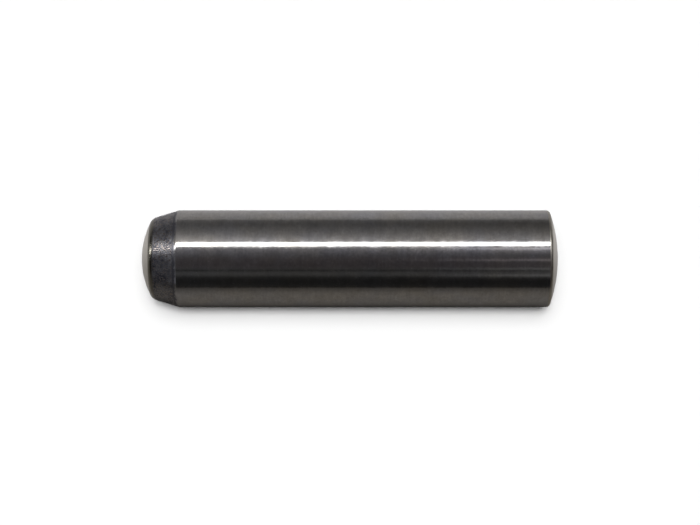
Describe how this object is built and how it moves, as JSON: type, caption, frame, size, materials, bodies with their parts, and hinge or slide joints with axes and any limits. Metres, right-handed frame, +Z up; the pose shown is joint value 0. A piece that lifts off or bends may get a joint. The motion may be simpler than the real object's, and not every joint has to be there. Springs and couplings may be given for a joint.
{
  "type": "dowel pin",
  "caption": "Hardened steel dowel pin: a ground cylindrical shank with a tapered, crowned lead-in end and a plain crowned end, for locating and joining machined parts.",
  "frame": {"origin": "on the pin's axis, at mid-length", "axes": "+X along the axis towards the plain end, so the chamfered lead-in end points to -X; +Z up, with the pin lying on its side"},
  "size_m": [0.06, 0.014, 0.014],
  "materials": {
    "hardened_steel": "ground shank, heat-treat scale on the lead-in chamfer, tumbled crowns"
  },
  "bodies": {
    "root": {"dowel_pin": "hardened_steel"}
  },
  "joints": []
}
